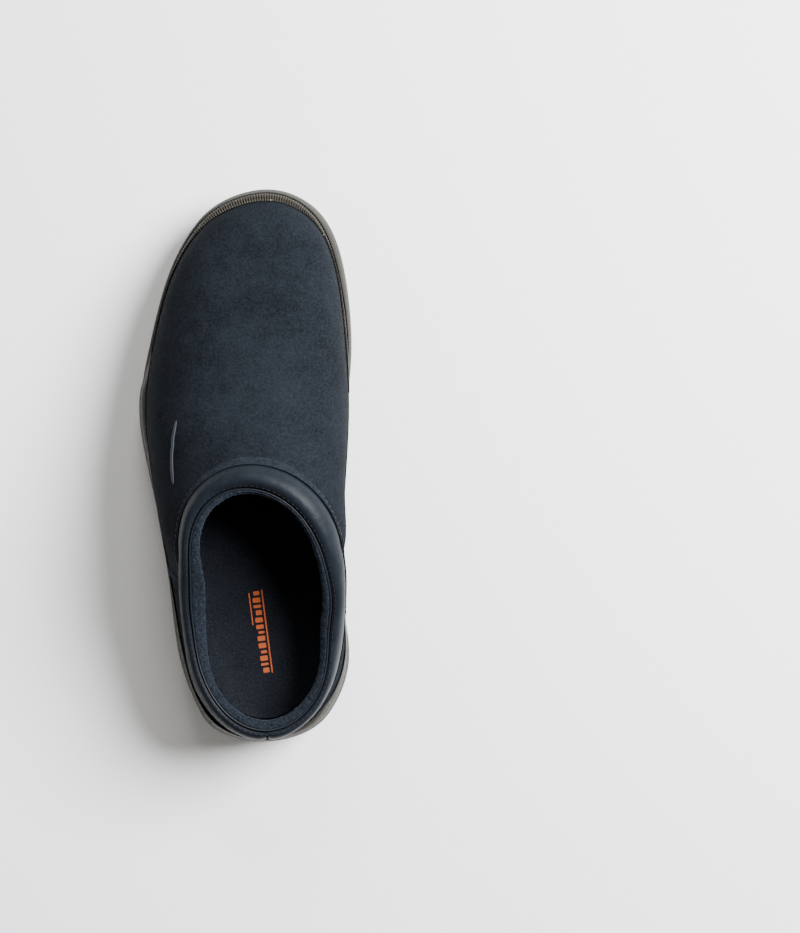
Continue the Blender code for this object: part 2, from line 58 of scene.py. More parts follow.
# Collar outlines: radii every 30 degrees from the toe end round by the inner side
COLLAR_MIDDLE = (11.5, -70.0)
EDGE_RADII = [71.5, 62.0, 48.5, 42.5, 47.0, 60.5, 71.5, 62.5, 47.0, 42.0, 49.5, 67.5]
THROAT_RADII = [59.0, 48.0, 38.5, 36.0, 39.5, 56.0, 66.0, 54.0, 40.5, 37.0, 42.5, 58.0]
FLEECE_RADII = [54.5, 43.5, 34.5, 32.0, 35.0, 50.5, 60.0, 48.5, 35.0, 31.5, 36.0, 52.5]
TOPLINE_BACK, TOPLINE_RISE = 62.0, 28.0
SUEDE_BACK, SUEDE_RISE = 41.0, 46.0
SUEDE, LINING_AT, LINING, LEATHER = 1.7, 3.2, 3.0, 1.0
BED_TOP = 5.7

STATIONS = 22
HALF = 11
BACK_SEAM = 10.85
# Where the vamp fleece meets the quarter fleece, and how near a station counts as on the seam
FLEECE_SEAM, ON_SEAM = 6.625, 0.005
CUP_BACK, CUP_CLIMB, CLIMB_AT = 6.0, 4.0, 13.2
FINE = 704
COARSE = 352

# Stitches, and the dark beads of painted shade in the back seam: pitch along the row, and length,
# width and height of one stitch or bead
EDGE_PITCH, EDGE_STITCH = 3.3, (2.5, 0.75, 0.5)
THROAT_PITCH, THROAT_STITCH = 2.9, (2.1, 0.5, 0.35)
SEAM_SHADE_PITCH, SEAM_SHADE_BEAD = 1.5, (1.9, 1.0, 0.6)
# Stitches of the suede edge row are made only above this height
EDGE_STITCH_LOW = 52.0
THROAT_ROW = 40
# Collar rows along which the back seam's painted shade runs
SEAM_SHADE_ROWS = slice(2, 42)

CAMERA_PLACE = (0.0821, -0.0007, 1.5)
LENS, SENSOR = 107.6, 36.0


# ---------------------------------------------------------------- curves
def spline(values):
    """Closed cubic through equally spaced values, for arrays of stations."""
    v = np.array(values, float)
    n = len(v)
    one = np.eye(n)
    m = 4.0 * one + np.roll(one, 1, 0) + np.roll(one, -1, 0)
    d = np.linalg.solve(m, 3.0 * (np.roll(v, -1, 0) - np.roll(v, 1, 0)))

    def at(t):
        t = np.mod(np.asarray(t, float), n)
        i = np.floor(t).astype(int) % n
        s = t - np.floor(t)
        if v.ndim > 1:
            s = s[..., None]
        j = (i + 1) % n
        a = (1 + 2 * s) * (1 - s) ** 2 * v[i] + s * (1 - s) ** 2 * d[i]
        return a + s * s * (3 - 2 * s) * v[j] + s * s * (s - 1) * d[j]

    return at


def smooth(x):
    x = np.clip(x, 0.0, 1.0)
    return x * x * (3 - 2 * x)


def unit(v):
    return v / np.maximum(np.linalg.norm(v, axis=-1, keepdims=True), 1e-9)


edge_radius = spline(EDGE_RADII)
throat_radius = spline(THROAT_RADII)
fleece_radius = spline(FLEECE_RADII)
INNER = [(s[2], s[0]) for s in SOLE_STATIONS]
OUTER = [(s[1], s[0]) for s in SOLE_STATIONS]
sole_plan = spline([TOE_TIP] + INNER + [HEEL_TIP] + OUTER[::-1])
upper_inset = spline(UPPER_INSET)
_turn = [a - i * 180.0 / HALF for i, a in enumerate(COLLAR_ANGLE)]
_turn = spline(_turn + [-a for a in _turn[-2:0:-1]])


def outward(t):
    d = unit(sole_plan(t + 0.02) - sole_plan(t - 0.02))
    return np.stack([-d[..., 1], d[..., 0]], -1)


def sole_edge(t, inset=0.0):
    return sole_plan(t) - outward(t) * np.asarray(inset)[..., None]


def upper_edge(t, inset=0.0):
    return sole_edge(t, upper_inset(t) + inset)


def collar_angle(t):
    t = np.mod(t, STATIONS)
    fanned = np.radians(_turn(t) + t * 180.0 / HALF)
    near = smooth((5.6 - np.abs(t - HALF)) / 1.8)
    f = upper_edge(t)
    facing = np.arctan2(f[..., 0] - COLLAR_MIDDLE[0], f[..., 1] - COLLAR_MIDDLE[1]) % (2 * math.pi)
    return np.where(near > 0, fanned % (2 * math.pi) * (1 - near) + facing * near, fanned)


def outline(radius, angle, grow=0.0):
    """Point of a collar outline; angle runs from +Y toward +X."""
    r = radius(angle / math.radians(30.0)) + grow
    return np.stack([COLLAR_MIDDLE[0] + r * np.sin(angle), COLLAR_MIDDLE[1] + r * np.cos(angle)], -1)


def spring(y):
    toe = TOE_SPRING * (np.maximum(0.0, y - 55.0) / 91.0) ** 2
    return toe + HEEL_BEVEL * (np.maximum(0.0, -118.0 - y) / 26.0) ** 2


def stack(y):
    toe = TOE_SPRING * (np.maximum(0.0, y - 55.0) / 91.0) ** 2
    return FOREFOOT_STACK + 0.75 * toe + HEEL_RAISE * smooth((40.0 - y) / 95.0)


def topline(t):
    return TOPLINE_BACK + TOPLINE_RISE * ((1 + np.cos(collar_angle(t))) / 2) ** 1.6


def suede_top(t):
    return SUEDE_BACK + SUEDE_RISE * ((1 + np.cos(collar_angle(t))) / 2) ** 1.5


def join3(xy, z):
    return np.concatenate([xy, np.broadcast_to(z, xy.shape[:-1])[..., None]], -1)


def bezier(p0, p1, p2, p3, u):
    u = np.asarray(u)[None, :, None]
    v = 1 - u
    p0, p1, p2, p3 = (p[:, None, :] for p in (p0, p1, p2, p3))
    return v ** 3 * p0 + 3 * v * v * u * p1 + 3 * v * u * u * p2 + u ** 3 * p3


def upper(t, u):
    """Outer face of the upper as a grid: stations by u, 0 in the sole cup and 1 at the collar."""
    f = upper_edge(t)
    c = outline(edge_radius, collar_angle(t))
    a = join3(f, stack(f[:, 1]) - 2.7)
    b = join3(c, suede_top(t))
    d = np.linalg.norm(f - c, axis=1)[:, None]
    rise = (b[:, 2] - a[:, 2])[:, None]
    lean = smooth((d - 8.0) / 50.0)
    away = unit((f - c) * lean + outward(t) * 3.0 * (1 - lean))
    wide = smooth((d - 4.0) / 26.0)
    reach = 0.45 * d * wide + 0.8 * (1 - wide)
    lift = 30.0 * wide + 0.40 * rise * (1 - wide)
    drop = 0.42 * reach * wide + 0.34 * rise * (1 - wide)
    p1 = a + np.concatenate([outward(t) * 0.8, lift], 1)
    p2 = b + np.concatenate([away * reach, -drop], 1)
    return bezier(a, p1, p2, b, u)


def normals(grid, closed=True):
    if closed:
        along = np.roll(grid, -1, 0) - np.roll(grid, 1, 0)
    else:
        along = np.gradient(grid, axis=0)
    up = np.gradient(grid, axis=1)
    return unit(np.cross(up, along))


def through(points, count):
    """Smooth columns through a list of point rows, count samples each."""
    p = np.array(points)
    k = len(p)
    s = np.linspace(0, k - 1, count)
    i = np.clip(np.floor(s).astype(int), 0, k - 2)
    f = (s - i)[:, None, None]
    a, b, c, d = p[np.maximum(i - 1, 0)], p[i], p[i + 1], p[np.minimum(i + 2, k - 1)]
    out = 0.5 * (2 * b + (c - a) * f + (2 * a - 5 * b + 4 * c - d) * f ** 2
                 + (3 * b - a - 3 * c + d) * f ** 3)
    return np.swapaxes(out, 0, 1)


def wobble(grid, size, seed=0.0):
    """Smooth noise for each grid point; size is the feature size in millimetres."""
    flat = grid.reshape(-1, 3) / size + seed
    vals = np.array([noise.noise(Vector(p)) for p in flat])
    return vals.reshape(grid.shape[:-1])


# ---------------------------------------------------------------- meshes
def finish_mesh(name, verts, faces, look, nodes, smooth_angle=40.0):
    me = bpy.data.meshes.new(name)
    me.from_pydata(((np.asarray(verts, float) - MIDDLE) * MM).tolist(), [], faces)
    me.validate()
    me.shade_smooth()
    if smooth_angle is not None:
        me.set_sharp_from_angle(angle=math.radians(smooth_angle))
    for m in look if isinstance(look, list) else [look]:
        me.materials.append(m)
    ob = bpy.data.objects.new(name, me)
    bpy.context.scene.collection.objects.link(ob)
    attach(ob, "root")
    if nodes:
        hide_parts(*nodes)
    return ob


def shell_faces(n, m, closed):
    """Faces of the solid between an outer and an inner grid of n by m points."""
    off = n * m
    rows = np.arange(n if closed else n - 1)
    i, j = np.meshgrid(rows, np.arange(m - 1), indexing="ij")
    a, b = i * m + j, (i + 1) % n * m + j
    faces = np.concatenate([
        np.stack([a, a + 1, b + 1, b], -1).reshape(-1, 4),
        np.stack([off + a, off + b, off + b + 1, off + a + 1], -1).reshape(-1, 4)])
    a, b = rows * m, (rows + 1) % n * m
    faces = np.concatenate([
        faces, np.stack([a, b, off + b, off + a], -1),
        np.stack([a + m - 1, off + a + m - 1, off + b + m - 1, b + m - 1], -1)])
    if not closed:
        j = np.arange(m - 1)
        e = (n - 1) * m + j
        faces = np.concatenate([faces, np.stack([j, off + j, off + j + 1, j + 1], -1),
                                np.stack([e, e + 1, off + e + 1, off + e], -1)])
    return faces.tolist()


def shell(name, outer, inner, closed, look, nodes, angle=40.0):
    n, m = outer.shape[:2]
    verts = np.concatenate([outer.reshape(-1, 3), inner.reshape(-1, 3)])
    return finish_mesh(name, verts, shell_faces(n, m, closed), look, nodes, angle)


def ring_faces(n, m, closed_section):
    """Faces of a closed-round grid, with a closed or open section."""
    i, j = np.meshgrid(np.arange(n), np.arange(m if closed_section else m - 1), indexing="ij")
    a, b = i * m + j, (i + 1) % n * m + j
    k, l = i * m + (j + 1) % m, (i + 1) % n * m + (j + 1) % m
    return np.stack([a, k, l, b], -1).reshape(-1, 4).tolist()


def plate(name, rings, look, nodes, angle=40.0):
    """Stack of rings, each end closed straight across the shoe."""
    n = len(rings[0])
    verts = np.concatenate(rings)
    faces = []
    for k in range(len(rings) - 1):
        for i in range(n):
            j = (i + 1) % n
            faces.append((k * n + i, (k + 1) * n + i, (k + 1) * n + j, k * n + j))
    for base, flip in ((0, False), ((len(rings) - 1) * n, True)):
        for i in range(n // 2):
            loop = [base + q for q in dict.fromkeys([i, i + 1, n - i - 1, (n - i) % n])]
            faces.append(tuple(loop[::-1] if flip else loop))
    return finish_mesh(name, verts, faces, look, nodes, angle)


def stations(count=COARSE):
    return np.arange(count) * STATIONS / count


def core(xy, pull=0.2):
    """A ring drawn in toward the line halfway between the shoe's two sides."""
    return xy + (0.5 * (xy + np.roll(xy[::-1], 1, 0)) - xy) * pull


def beads(name, points, aims, ups, size, look):
    """Row of small rounded beads, for stitches and for the painted shade in the back seam: length,
    width and height in size.
    """
    seg, lat = 8, 5
    base = []
    for k in range(1, lat):
        th = math.pi * k / lat
        for s in range(seg):
            ph = 2 * math.pi * s / seg
            base.append((math.cos(th), math.sin(th) * math.cos(ph), math.sin(th) * math.sin(ph)))
    base = np.array([(1, 0, 0)] + base + [(-1, 0, 0)]) * np.array(size) * 0.5
    aims, ups = unit(aims), unit(ups)
    side = unit(np.cross(ups, aims))
    ups = np.cross(aims, side)
    verts = (points[:, None] + base[None, :, :1] * aims[:, None]
             + base[None, :, 1:2] * side[:, None] + base[None, :, 2:] * ups[:, None])
    faces, per = [], len(base)
    for q in range(len(points)):
        o = q * per
        for s in range(seg):
            r = (s + 1) % seg
            faces.append((o, o + 1 + s, o + 1 + r))
            for k in range(lat - 2):
                a = o + 1 + k * seg
                faces.append((a + s, a + seg + s, a + seg + r, a + r))
            a = o + 1 + (lat - 2) * seg
            faces.append((a + s, o + per - 1, a + r))
    return finish_mesh(name, verts.reshape(-1, 3), faces, look, [], None)


def spaced(path, pitch, closed=True):
    """Points, tangents and source indexes at equal spacing along a path."""
    p = np.concatenate([path, path[:1]]) if closed else path
    run = np.concatenate([[0], np.cumsum(np.linalg.norm(np.diff(p, axis=0), axis=1))])
    count = int(run[-1] / pitch)
    at = (np.arange(count) + 0.5) * run[-1] / count
    pos = np.stack([np.interp(at, run, p[:, k]) for k in range(3)], -1)
    ahead = np.stack([np.interp(at + 0.3, run, p[:, k]) for k in range(3)], -1)
    idx = np.clip(np.searchsorted(run, at), 0, len(path) - 1)
    return pos, ahead - pos, idx


# ---------------------------------------------------------------- materials
class Look:
    """Principled material with short helpers for procedural detail."""

    def __init__(self, name, rough=0.7, specular=0.3, sheen=0.0, tint=(0.6, 0.7, 1.0), coat=0.0):
        self.mat = bpy.data.materials.new(name)
        self.mat.use_nodes = True
        self.nodes = self.mat.node_tree.nodes
        self.links = self.mat.node_tree.links
        self.bsdf = self.nodes["Principled BSDF"]
        self.set("Roughness", rough)
        self.set("Specular IOR Level", specular)
        self.set("Sheen Weight", sheen)
        self.set("Sheen Roughness", 0.5)
        self.set("Sheen Tint", (*tint, 1.0))
        self.set("Coat Weight", coat)
        self.coords = self.nodes.new("ShaderNodeTexCoord").outputs["Object"]

    def set(self, socket, value):
        self.bsdf.inputs[socket].default_value = value

    def link(self, a, b):
        self.links.new(a, b)
        return b

    def noise(self, size, detail=2.0, rough=0.5, stretch=None):
        n = self.nodes.new("ShaderNodeTexNoise")
        n.inputs["Scale"].default_value = 1.0 / (size * MM)
        n.inputs["Detail"].default_value = detail
        n.inputs["Roughness"].default_value = rough
        src = self.coords
        if stretch is not None:
            m = self.nodes.new("ShaderNodeMapping")
            m.inputs["Scale"].default_value = stretch
            self.link(self.coords, m.inputs["Vector"])
            src = m.outputs["Vector"]
        self.link(src, n.inputs["Vector"])
        return n.outputs["Fac"]

    def cells(self, size, feature="F1"):
        n = self.nodes.new("ShaderNodeTexVoronoi")
        n.feature = feature
        n.inputs["Scale"].default_value = 1.0 / (size * MM)
        self.link(self.coords, n.inputs["Vector"])
        return n.outputs["Distance"]

    def ramp(self, src, low, high, a=0.0, b=1.0):
        n = self.nodes.new("ShaderNodeMapRange")
        for key, value in (("From Min", low), ("From Max", high), ("To Min", a), ("To Max", b)):
            n.inputs[key].default_value = value
        self.link(src, n.inputs["Value"])
        return n.outputs["Result"]

    def math(self, op, a, b):
        n = self.nodes.new("ShaderNodeMath")
        n.operation = op
        for k, v in enumerate((a, b)):
            if isinstance(v, (int, float)):
                n.inputs[k].default_value = v
            else:
                self.link(v, n.inputs[k])
        return n.outputs[0]

    def mix(self, fac, a, b):
        n = self.nodes.new("ShaderNodeMix")
        n.data_type = "RGBA"
        for key, v in (("A", a), ("B", b)):
            sock = [s for s in n.inputs if s.name == key and s.type == "RGBA"][0]
            if isinstance(v, tuple):
                sock.default_value = (*v, 1.0)
            else:
                self.link(v, sock)
        self.link(fac, n.inputs["Factor"])
        return [s for s in n.outputs if s.type == "RGBA"][0]

    def color(self, src):
        if isinstance(src, tuple):
            self.set("Base Color", (*src, 1.0))
        else:
            self.link(src, self.bsdf.inputs["Base Color"])

    def bump(self, *layers):
        """layers: (height socket, depth in millimetres)."""
        last = None
        for src, depth in layers:
            n = self.nodes.new("ShaderNodeBump")
            n.inputs["Strength"].default_value = 1.0
            n.inputs["Distance"].default_value = depth * MM
            self.link(src, n.inputs["Height"])
            if last is not None:
                self.link(last, n.inputs["Normal"])
            last = n.outputs["Normal"]
        self.link(last, self.bsdf.inputs["Normal"])

    def near(self, centre, radius):
        """1 at a point of the shoe, fading to 0 at radius; both in millimetres."""
        n = self.nodes.new("ShaderNodeVectorMath")
        n.operation = "DISTANCE"
        self.link(self.coords, n.inputs[0])
        n.inputs[1].default_value = [c * MM for c in centre]
        return self.ramp(n.outputs["Value"], radius * MM, 0.0)


def suede_look(name="suede_nap", lift=1.0):
    """Brushed nap: broad shading where it is stroked, fine fibre grain over it."""
    k = Look(name, rough=0.95, specular=0.06, sheen=0.0)
    broad = k.ramp(k.noise(30.0, 3.0, 0.6), 0.36, 0.66)
    stroke = k.ramp(k.noise(9.0, 4.0, 0.65), 0.34, 0.68)
    fibre = k.ramp(k.noise(1.3, 2.0, 0.8), 0.33, 0.69)
    speck = k.ramp(k.noise(0.75, 1.0, 0.6), 0.60, 0.78)
    patch = k.near((16.0, 36.0, 70.0), 42.0)
    tone = k.math("ADD", k.math("MULTIPLY", broad, 0.22), k.math("MULTIPLY", stroke, 0.20))
    tone = k.math("ADD", tone, k.math("MULTIPLY", fibre, 0.52))
    tone = k.math("ADD", tone, k.math("MULTIPLY", speck, 0.32))
    tone = k.math("ADD", tone, k.math("MULTIPLY", patch, 0.30))
    dark = tuple(c * lift for c in (0.0017, 0.0023, 0.0031))
    pale = tuple(c * lift for c in (0.0122, 0.0156, 0.0212))
    k.color(k.mix(tone, dark, pale))
    k.bump((k.noise(5.0, 3.0, 0.6), 0.20), (k.noise(0.9, 3.0, 0.75), 0.20))
    return k.mat


def leather_look():
    k = Look("collar_leather_skin", rough=0.45, specular=0.09)
    tone = k.ramp(k.noise(7.0, 3.0, 0.6), 0.3, 0.7)
    k.color(k.mix(tone, (0.0050, 0.0070, 0.0106), (0.0078, 0.0104, 0.0148)))
    k.bump((k.noise(3.0, 3.0, 0.6), 0.10), (k.cells(0.75), 0.035), (k.noise(0.35, 2.0, 0.6), 0.03))
    return k.mat


def fleece_look():
    k = Look("lining_fleece", rough=1.0, specular=0.03, sheen=0.10, tint=(0.5, 0.62, 0.9))
    tuft = k.ramp(k.noise(1.2, 3.0, 0.75), 0.34, 0.68)
    k.color(k.mix(tuft, (0.0030, 0.0040, 0.0058), (0.0170, 0.0215, 0.0285)))
    k.bump((k.noise(1.4, 3.0, 0.7), 0.5), (k.noise(0.45, 2.0, 0.7), 0.25))
    return k.mat


def bed_look():
    k = Look("footbed_cloth", rough=1.0, specular=0.03, sheen=0.05, tint=(0.6, 0.7, 0.9))
    fleck = k.ramp(k.noise(0.9, 2.0, 0.7), 0.42, 0.70)
    base = k.mix(k.ramp(k.noise(10.0, 2.0, 0.6), 0.35, 0.65), (0.0046, 0.0053, 0.0072),
                 (0.0062, 0.0071, 0.0095))
    k.color(k.mix(fleck, base, (0.0120, 0.0136, 0.0172)))
    k.bump((k.noise(0.6, 3.0, 0.7), 0.2))
    return k.mat


def rubber_look(name, dark, pale, specks=0.0, rough=0.62, grain=0.12):
    k = Look(name, rough=rough, specular=0.35)
    tone = k.ramp(k.noise(1.3, 3.0, 0.6), 0.3, 0.7)
    col = k.mix(tone, dark, pale)
    if specks:
        spot = k.ramp(k.cells(2.4), 0.10, 0.17, 1.0, 0.0)
        some = k.ramp(k.noise(3.7, 1.0, 0.5), 0.52, 0.56)
        col = k.mix(k.math("MULTIPLY", k.math("MULTIPLY", spot, some), specks), col,
                    (0.42, 0.36, 0.26))
    k.color(col)
    k.bump((k.noise(0.8, 2.0, 0.6), grain))
    return k.mat


def plain_look(name, color, rough, specular=0.3, depth=0.05, size=0.5):
    k = Look(name, rough=rough, specular=specular)
    k.color(color)
    k.bump((k.noise(size, 2.0, 0.6), depth))
    return k.mat


# ---------------------------------------------------------------- sole
def toe_wrap(t):
    """1 at the toe tip, 0 from the ball back."""
    away = np.minimum(t % STATIONS, STATIONS - t % STATIONS)
    return smooth((4.6 - away) / 3.4)


def side_foot(y):
    return spring(y) + OUTSOLE_TOP + 3.2 + 0.22 * (stack(y) - FOREFOOT_STACK)


def bumper(t):
    """Width of the smooth rubber lip seen from above; widest on the inner side of the toe."""
    toe = 0.5 * smooth((3.0 - np.minimum(t % STATIONS, STATIONS - t % STATIONS)) / 3.0)
    inner = 1.9 * smooth(1.0 - np.abs(t % STATIONS - 2.3) / 2.3)
    return 1.5 + toe + inner + 0.9 * smooth(1.0 - np.abs(t % STATIONS - 17.6) / 1.8)


def outsole(look, lug_look):
    t = stations()
    lip = bumper(t)
    rim = spring(sole_edge(t)[:, 1]) + OUTSOLE_TOP + 1.5 + 8.5 * toe_wrap(t)

    def level(inset, height):
        xy = sole_edge(t, inset)
        return join3(xy, height(xy[:, 1]))

    def at_rim(inset, drop):
        return join3(sole_edge(t, inset), rim - drop)

    rings = [
        join3(core(sole_edge(t, 4.0)), spring(core(sole_edge(t, 4.0))[:, 1]) + LUG_HEIGHT),
        level(4.0, lambda y: spring(y) + LUG_HEIGHT),
        level(1.6, lambda y: spring(y) + LUG_HEIGHT + 0.8),
        level(0.4, lambda y: spring(y) + LUG_HEIGHT + 2.4),
        level(0.0, lambda y: spring(y) + LUG_HEIGHT + 4.2),
        at_rim(0.05, 1.6), at_rim(0.25, 0.8), at_rim(0.6, 0.25), at_rim(1.0, 0.0),
        at_rim(lip - 0.35, 0.0), at_rim(lip - 0.1, 0.2),
        level(lip, lambda y: spring(y) + OUTSOLE_TOP + 0.4),
        level(lip + 0.4, lambda y: spring(y) + OUTSOLE_TOP),
        level(4.6, lambda y: spring(y) + OUTSOLE_TOP),
        join3(core(sole_edge(t, 4.0)), spring(core(sole_edge(t, 4.0))[:, 1]) + OUTSOLE_TOP)]
    plate("outsole_tread", rings, look, ["outsole"], 50.0)
    rows = [(-122, 3), (-103, 3), (-84, 3), (-62, 2), (-38, 2), (-14, 2), (9, 3), (31, 3),
            (53, 3), (75, 3), (96, 3), (116, 2)]
    edge = sole_edge(np.arange(440) * 0.05)
    verts, faces = [], []
    for y, count in rows:
        near = edge[np.abs(edge[:, 1] - y) < 3.0, 0]
        left, right = near.min() + 6.0, near.max() - 6.0
        pitch = (right - left) / count
        for k in range(count):
            lug(verts, faces, left + pitch * (k + 0.5), y, pitch * 0.5 - 2.4, 7.0,
                4.0 if y > 0 else -4.0)
    finish_mesh("outsole_lugs", verts, faces, lug_look, [], 30.0)


def lug(verts, faces, x, y, hx, hy, skew):
    """Tread block with a chamfered foot, its top sunk into the outsole."""
    k = len(verts)
    layers = ((0.0, -0.7), (0.5, 0.0), (LUG_HEIGHT + 1.2, 1.0))
    for foot, grow in layers:
        for sx, sy in ((-1, -1), (1, -1), (1, 1), (-1, 1)):
            verts.append((x + sx * (hx + grow) + sy * skew * 0.5, y + sy * (hy + grow),
                          float(spring(y + sy * hy)) + foot))
    faces.append((k + 3, k + 2, k + 1, k))
    faces.append((k + 8, k + 9, k + 10, k + 11))
    for layer in (0, 4):
        for q in range(4):
            r = (q + 1) % 4
            a = k + layer
            faces.append((a + q, a + r, a + 4 + r, a + 4 + q))


def midsole(look):
    t = stations()
    low = OUTSOLE_TOP + 0.3
    under = np.maximum(upper_inset(t) + 0.9, 3.6)
    face = np.maximum(2.4, bumper(t) + 0.3)
    waist = smooth((t - 4.0) / 0.4) * smooth((7.9 - t) / 0.4)

    def flared(inset, height, waist_inset, below_stack):
        """Ring that climbs to the upper's edge along the bare inner waist."""
        xy = sole_edge(t, inset + (upper_inset(t) + waist_inset - inset) * waist)
        plain = height(xy[:, 1])
        return join3(xy, plain + (stack(xy[:, 1]) - below_stack - plain) * waist)

    def level(inset, height):
        xy = sole_edge(t, inset)
        return join3(xy, height(xy[:, 1]))

    plate("midsole_core", [
        join3(core(sole_edge(t, 4.0)), spring(core(sole_edge(t, 4.0))[:, 1]) + low),
        level(face + 0.2, lambda y: spring(y) + low),
        level(face, lambda y: spring(y) + low + 0.4),
        flared(face, lambda y: side_foot(y) - 0.5, -0.5, 3.4),
        flared(face + 0.1, lambda y: side_foot(y) - 0.4, -0.5, 2.5),
        flared(face + 0.3, lambda y: side_foot(y) - 0.3, -0.35, 2.1),
        flared(under, lambda y: side_foot(y) - 0.3, 0.8, 5.2),
        flared(under, lambda y: stack(y) - 5.5, 1.2, 5.3),
        level(under + 0.4, lambda y: stack(y) - 5.3),
        join3(core(upper_edge(t, 3.0)), stack(core(upper_edge(t, 3.0))[:, 1]) - 5.3),
    ], look, ["midsole"], 50.0)


def wall_heights(t, count, top):
    """Outer face of the upper from the sole cup up to a height, per station."""
    u = np.linspace(0, 0.5, 160)
    grid = upper(t, u)
    want = np.linspace(0, 1, count)
    out = np.zeros((len(t), count, 3))
    for i in range(len(t)):
        z = grid[i, :, 2]
        goal = z[0] + (top[i] - z[0]) * want
        for k in range(3):
            out[i, :, k] = np.interp(goal, z, grid[i, :, k])
    return out


def wrap(name, lo, hi, count, section, top, look, node, ribs, setback, dip=0.0):
    """Rubber wrap round part of the shoe: section is a list of (height share, inset)."""
    t = np.linspace(lo, hi, count)
    ends = smooth((t - lo) / 0.7) * smooth((hi - t) / 0.7)
    y = sole_edge(t)[:, 1]
    foot = side_foot(y)
    tops = top(t, y)
    inner_wall = wall_heights(t, 10, tops - 0.6)
    out2 = np.concatenate([outward(t), np.zeros((count, 1))], 1)[:, None]
    inner_wall = inner_wall + out2 * 0.35
    under = join3(upper_edge(t, -0.35), foot)[:, None]
    inner = np.concatenate([under, inner_wall], 1)
    share = np.array([s for s, _ in section])
    inset = np.array([q for _, q in section])
    z = foot[:, None] + (tops - foot)[:, None] * share
    relief = ribs(t, share)
    z = z + relief * dip * smooth((share - 0.6) / 0.3)
    depth = inset[None] + setback(t)[:, None] + 2.4 * (1 - ends[:, None]) - relief
    plan = sole_plan(t)[:, None] - outward(t)[:, None] * depth[..., None]
    outer = np.concatenate([plan, z[..., None]], -1)
    spare = ((outer[..., :2] - inner[:, -1:, :2]) * outward(t)[:, None]).sum(-1)
    lack = np.maximum(0.0, 0.25 + 0.45 * ends[:, None] - spare)
    outer[..., :2] += outward(t)[:, None] * lack[..., None]
    last = outer[:, -1:]
    bridge = last + (inner[:, -1:] - last) * np.array([0.35, 0.7])[None, :, None]
    bridge[..., 2] += np.array([0.35, 0.25]) + relief[:, -1:] * dip * np.array([1.2, 0.6])
    outer = np.concatenate([outer, bridge], 1)
    need = outer.shape[1]
    picks = np.linspace(0, inner.shape[1] - 1, need)
    base = np.clip(np.floor(picks).astype(int), 0, inner.shape[1] - 2)
    f = (picks - base)[None, :, None]
    inner = inner[:, base] * (1 - f) + inner[:, base + 1] * f
    return shell(name, outer, inner, False, look, [node], 50.0)


def run_length(t):
    """Distance along the sole edge for each station, in millimetres."""
    p = sole_edge(t)
    return np.concatenate([[0], np.cumsum(np.linalg.norm(np.diff(p, axis=0), axis=1))])


def toe_foxing(look):
    def ribs(t, share):
        run = run_length(t)[:, None]
        tooth = 0.5 + 0.5 * np.cos(run * 2 * math.pi / 1.55)
        body = smooth((share - 0.06) / 0.1) * smooth((1.2 - share) / 0.2)
        return -0.34 * tooth * body

    section = [(0.0, 0.5), (0.08, 0.4), (0.3, 0.35), (0.5, 0.35), (0.68, 0.4), (0.8, 0.6),
               (0.9, 0.9), (0.96, 1.3), (1.0, 1.8)]
    wrap("toe_foxing_band", -4.0, 4.6, 1900, section, lambda t, y: stack(y) + 1.5, look,
         "toe_foxing", ribs, bumper, 1.7)


def heel_cup(look):
    def climb(t):
        return smooth(1 - np.abs(t - CLIMB_AT) / 2.2)

    def top(t, y):
        back = smooth(1 - np.abs(t - HALF) / 3.6)
        return stack(y) + 1.4 + CUP_BACK * back + CUP_CLIMB * climb(t)

    def ribs(t, share):
        run = run_length(t)[:, None]
        notch = smooth((np.cos(run * 2 * math.pi / 7.0) - 0.80) / 0.12)
        band = smooth((share - 0.60) / 0.04) * smooth((0.86 - share) / 0.04)
        fade = smooth((17.5 - t) / 1.5)[:, None]
        lean = 3.4 * smooth((share - 0.45) / 0.5) * climb(t)[:, None]
        return -0.8 * notch * band * fade - lean

    section = [(0.0, 0.9), (0.05, 0.4), (0.12, 0.1), (0.26, 0.0), (0.30, 0.7), (0.35, 0.7),
               (0.39, 0.05), (0.52, 0.1), (0.55, 0.6), (0.58, 1.1), (0.62, 1.2), (0.70, 1.2),
               (0.78, 1.2), (0.86, 1.3), (0.91, 1.6), (0.96, 2.1), (1.0, 2.9)]
    wrap("heel_cup_shell", 7.3, STATIONS - 4.01, 900, section, top, look,
         "heel_cup", ribs, np.zeros_like)


# ---------------------------------------------------------------- footbed
def inside(t, rise, extra):
    """Line round the lining's inner face at a height above the board."""
    y = upper_edge(t)[:, 1]
    wall = wall_heights(t, 8, stack(y) + rise)[:, -1]
    grid = upper(t, np.linspace(0, 0.5, 40))
    nrm = normals(grid)
    z = np.array([np.argmin(np.abs(grid[i, :, 2] - wall[i, 2])) for i in range(len(t))])
    n = nrm[np.arange(len(t)), z]
    corner = 2.0 * smooth((2.4 - np.abs(t % STATIONS - HALF - 1.0)) / 1.6)
    depth = LINING_AT + LINING + extra + corner
    return (wall - n * depth[:, None])[:, :2]


